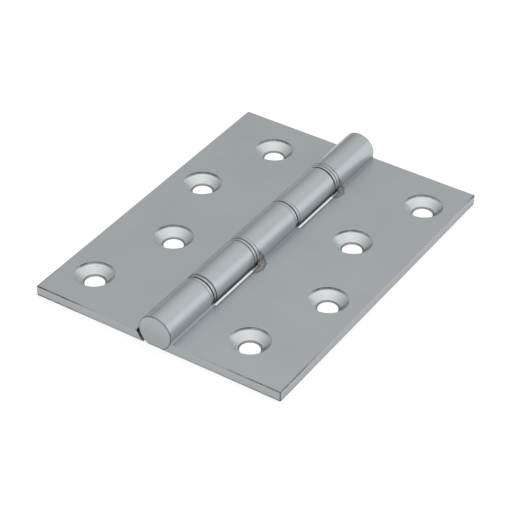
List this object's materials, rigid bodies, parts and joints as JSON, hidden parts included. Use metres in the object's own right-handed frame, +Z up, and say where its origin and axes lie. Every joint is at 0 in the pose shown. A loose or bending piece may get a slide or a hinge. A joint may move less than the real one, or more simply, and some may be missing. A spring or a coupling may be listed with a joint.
{
  "type": "washered butt hinge",
  "caption": "Flat metal butt hinge, shown open: two leaves with countersunk screw holes, their knuckles interleaved round a fixed pin with thin washers between them.",
  "frame": {"origin": "middle of the open hinge, on the plane of the backs of the leaves", "axes": "+Y along the pin, +X across the leaves towards the leaf with the end knuckles, +Z up out of the faces of the leaves"},
  "size_m": [0.0762, 0.1016, 0.0094],
  "materials": {
    "leaf": "satin chrome plated",
    "washer": "bright",
    "pin": "plain, ends dressed flush"
  },
  "bodies": {
    "fixed_side": {"right_leaf": "leaf", "hinge_pin": "pin", "washer_1_front": "washer", "washer_2_back": "washer", "washer_3_front": "washer", "washer_4_back": "washer"},
    "swing_side": {"left_leaf": "leaf", "washer_1_back": "washer", "washer_2_front": "washer", "washer_3_back": "washer", "washer_4_front": "washer"}
  },
  "joints": [
    {"name": "leaf_swing", "type": "hinge", "parent": "fixed_side", "child": "swing_side", "pos_m": [0, 0, 0.0045], "axis": [0, 1, 0], "range_deg": [-75, 180]}
  ]
}
